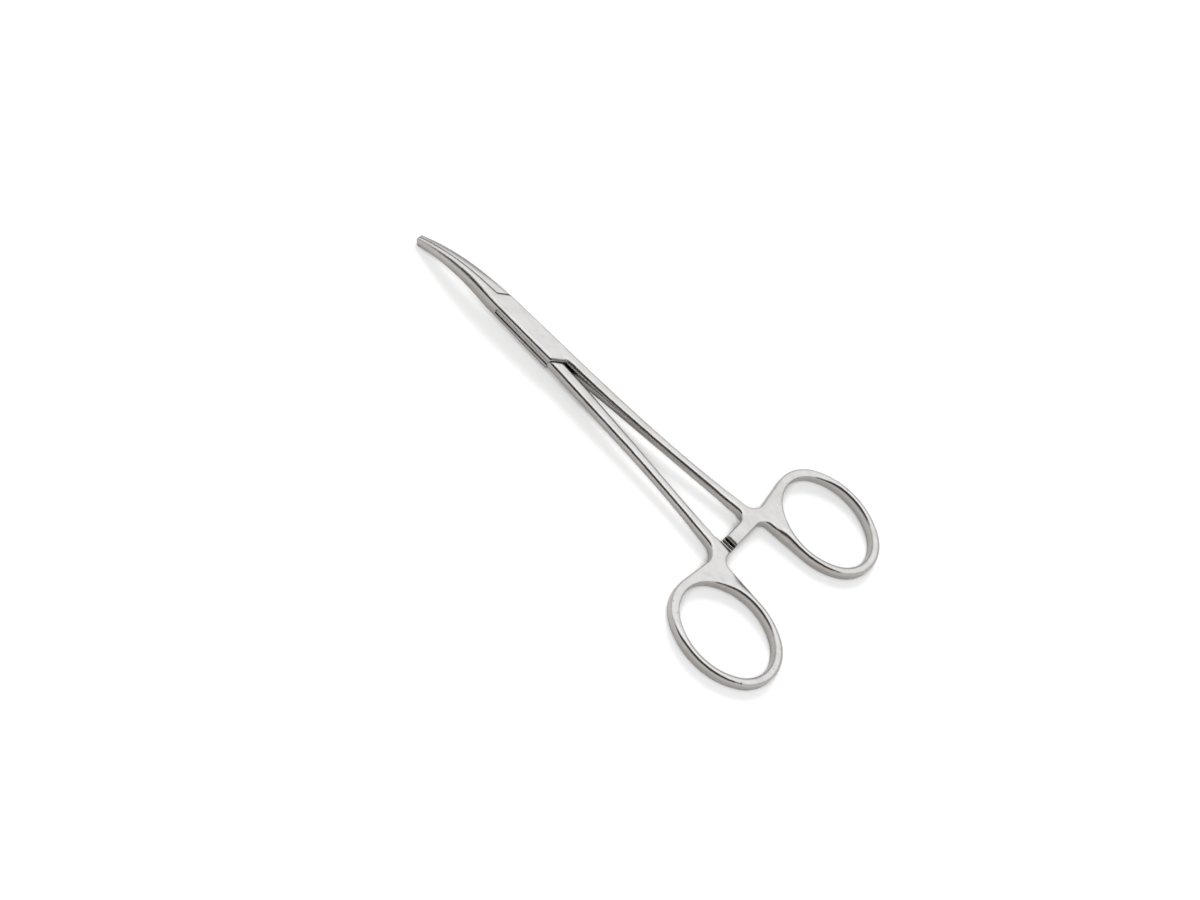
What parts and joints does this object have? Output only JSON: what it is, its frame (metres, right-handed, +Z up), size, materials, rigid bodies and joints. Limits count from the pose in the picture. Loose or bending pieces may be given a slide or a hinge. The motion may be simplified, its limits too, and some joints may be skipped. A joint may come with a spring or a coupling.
{
  "type": "hemostat forceps",
  "caption": "Curved locking hemostat with box-lock pivot, serrated tapering jaws, slim shanks, ratchet bars and oval finger rings, closed and lying at rest.",
  "frame": {"origin": "middle of the closed instrument's length and width, on the surface that it lies on", "axes": "+X towards the jaw tips, +Y towards the male arm's ring, +Z up; the handle plane leans by under 2 degrees because the jaw tips and the ring ends touch the surface"},
  "size_m": [0.1406, 0.0714, 0.0075],
  "materials": {
    "female_arm": "satin",
    "male_arm": "satin",
    "box_pin": "satin"
  },
  "bodies": {
    "female_body": {"female_arm": "female_arm", "box_pin": "box_pin"},
    "male_body": {"male_arm": "male_arm"}
  },
  "joints": [
    {"name": "box_lock", "type": "hinge", "parent": "female_body", "child": "male_body", "pos_m": [0.03288, 0, 0.00487], "axis": [0.0304, 0, -0.9995], "range_deg": [0, 50]}
  ]
}
